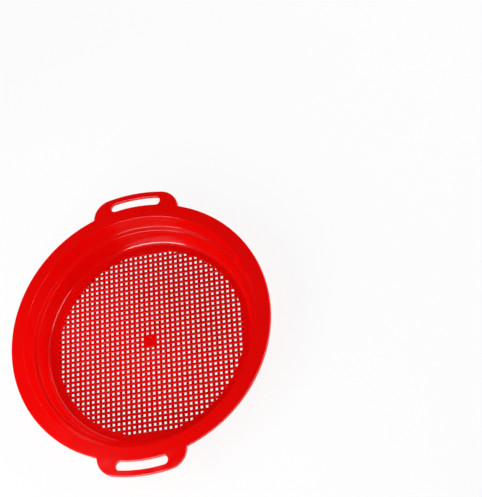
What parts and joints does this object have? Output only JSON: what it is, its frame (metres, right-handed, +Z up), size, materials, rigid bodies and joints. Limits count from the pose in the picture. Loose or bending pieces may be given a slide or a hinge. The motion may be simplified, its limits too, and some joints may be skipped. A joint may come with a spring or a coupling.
{
  "type": "sand sieve",
  "caption": "Round child's sand sieve: a dished bowl with a fine mesh floor, a stepped wall, a flat rim and two opposite handles with finger slots.",
  "frame": {"origin": "centre of the flat underside of the mesh floor, which the sieve stands on", "axes": "+Z up out of the bowl, +Y towards one handle and -Y towards the other, +X along the upper layer of ribs"},
  "size_m": [0.2006, 0.2228, 0.0287],
  "materials": {
    "red_plastic": "glossy moulded polypropylene"
  },
  "bodies": {
    "root": {"mesh_ribs_top": "red_plastic", "mesh_ribs_bottom": "red_plastic", "gate_pad": "red_plastic", "floor_ring": "red_plastic", "lower_wall": "red_plastic", "step_ring": "red_plastic", "upper_wall": "red_plastic", "rim_flange": "red_plastic", "rim_lip": "red_plastic", "handle_front": "red_plastic", "handle_back": "red_plastic"}
  },
  "joints": []
}
